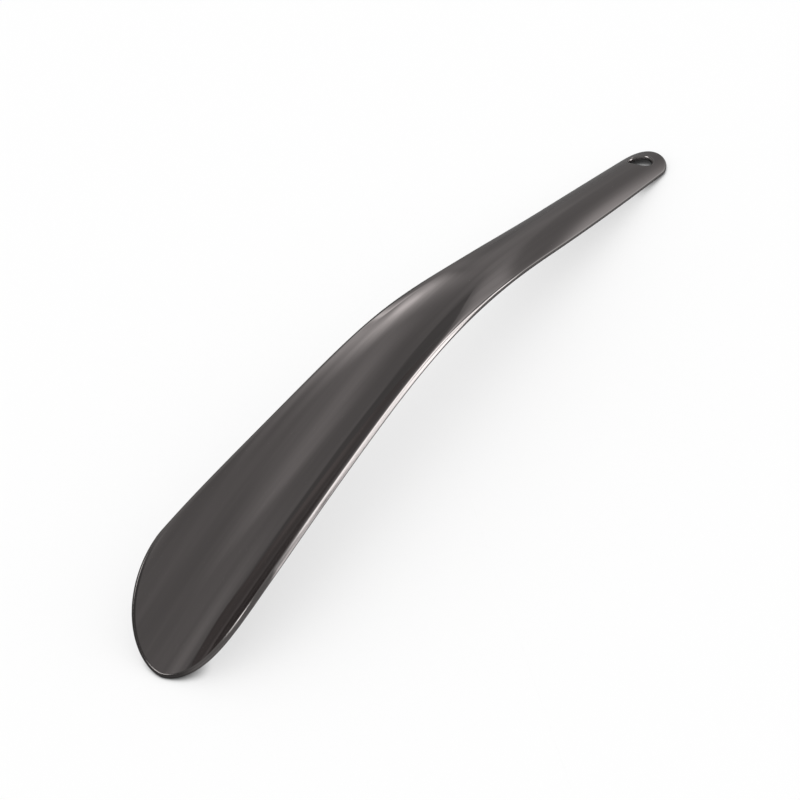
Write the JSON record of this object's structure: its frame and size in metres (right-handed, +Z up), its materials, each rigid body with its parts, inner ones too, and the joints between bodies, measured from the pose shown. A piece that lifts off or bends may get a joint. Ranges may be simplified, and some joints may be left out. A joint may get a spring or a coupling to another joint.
{
  "type": "long shoehorn",
  "caption": "Pressed sheet-metal shoehorn: broad hollow blade with a rounded tip, arched neck and a slim crowned handle with a hanging hole near its rounded end.",
  "frame": {"origin": "centre of the footprint on the table the shoehorn lies on, at the height of its lowest points", "axes": "+X along the length from the blade tip to the handle end, +Y across, +Z up with the hollow of the blade facing up"},
  "size_m": [0.3, 0.0452, 0.0307],
  "materials": {
    "dark_polished_steel": "polished dark gunmetal plating over pressed steel, faint lengthwise polishing lines"
  },
  "bodies": {
    "root": {"shoehorn_pressing": "dark_polished_steel"}
  },
  "joints": []
}
